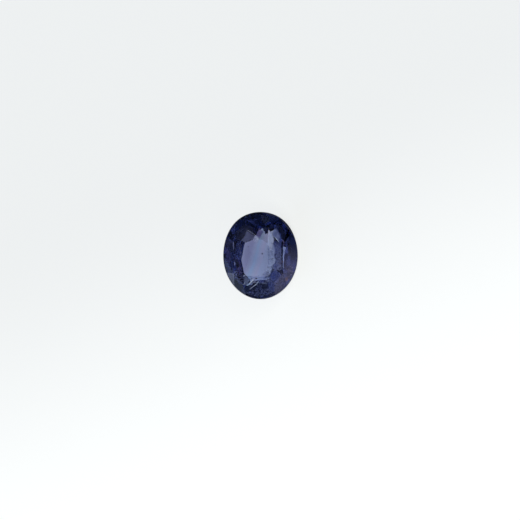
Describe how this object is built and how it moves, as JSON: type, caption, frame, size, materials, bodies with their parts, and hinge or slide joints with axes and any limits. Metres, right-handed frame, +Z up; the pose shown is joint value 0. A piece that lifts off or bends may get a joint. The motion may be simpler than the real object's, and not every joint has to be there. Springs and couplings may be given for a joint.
{
  "type": "faceted oval sapphire",
  "caption": "Loose oval faceted blue gemstone, lying on one facet of its pavilion, for a setting, a display or a scene.",
  "frame": {"origin": "on the surface that the stone lies on, under the middle of its bounding box", "axes": "+X along the long axis of the oval outline, +Z up from the facet that the stone rests on, and the table faces up and to the front, -Y"},
  "size_m": [0.0082, 0.006, 0.0054],
  "materials": {
    "gem_blue": "polished clear corundum, deep violet blue, paler where the middle of the stone lets light straight through"
  },
  "bodies": {
    "root": {"sapphire": "gem_blue"}
  },
  "joints": []
}
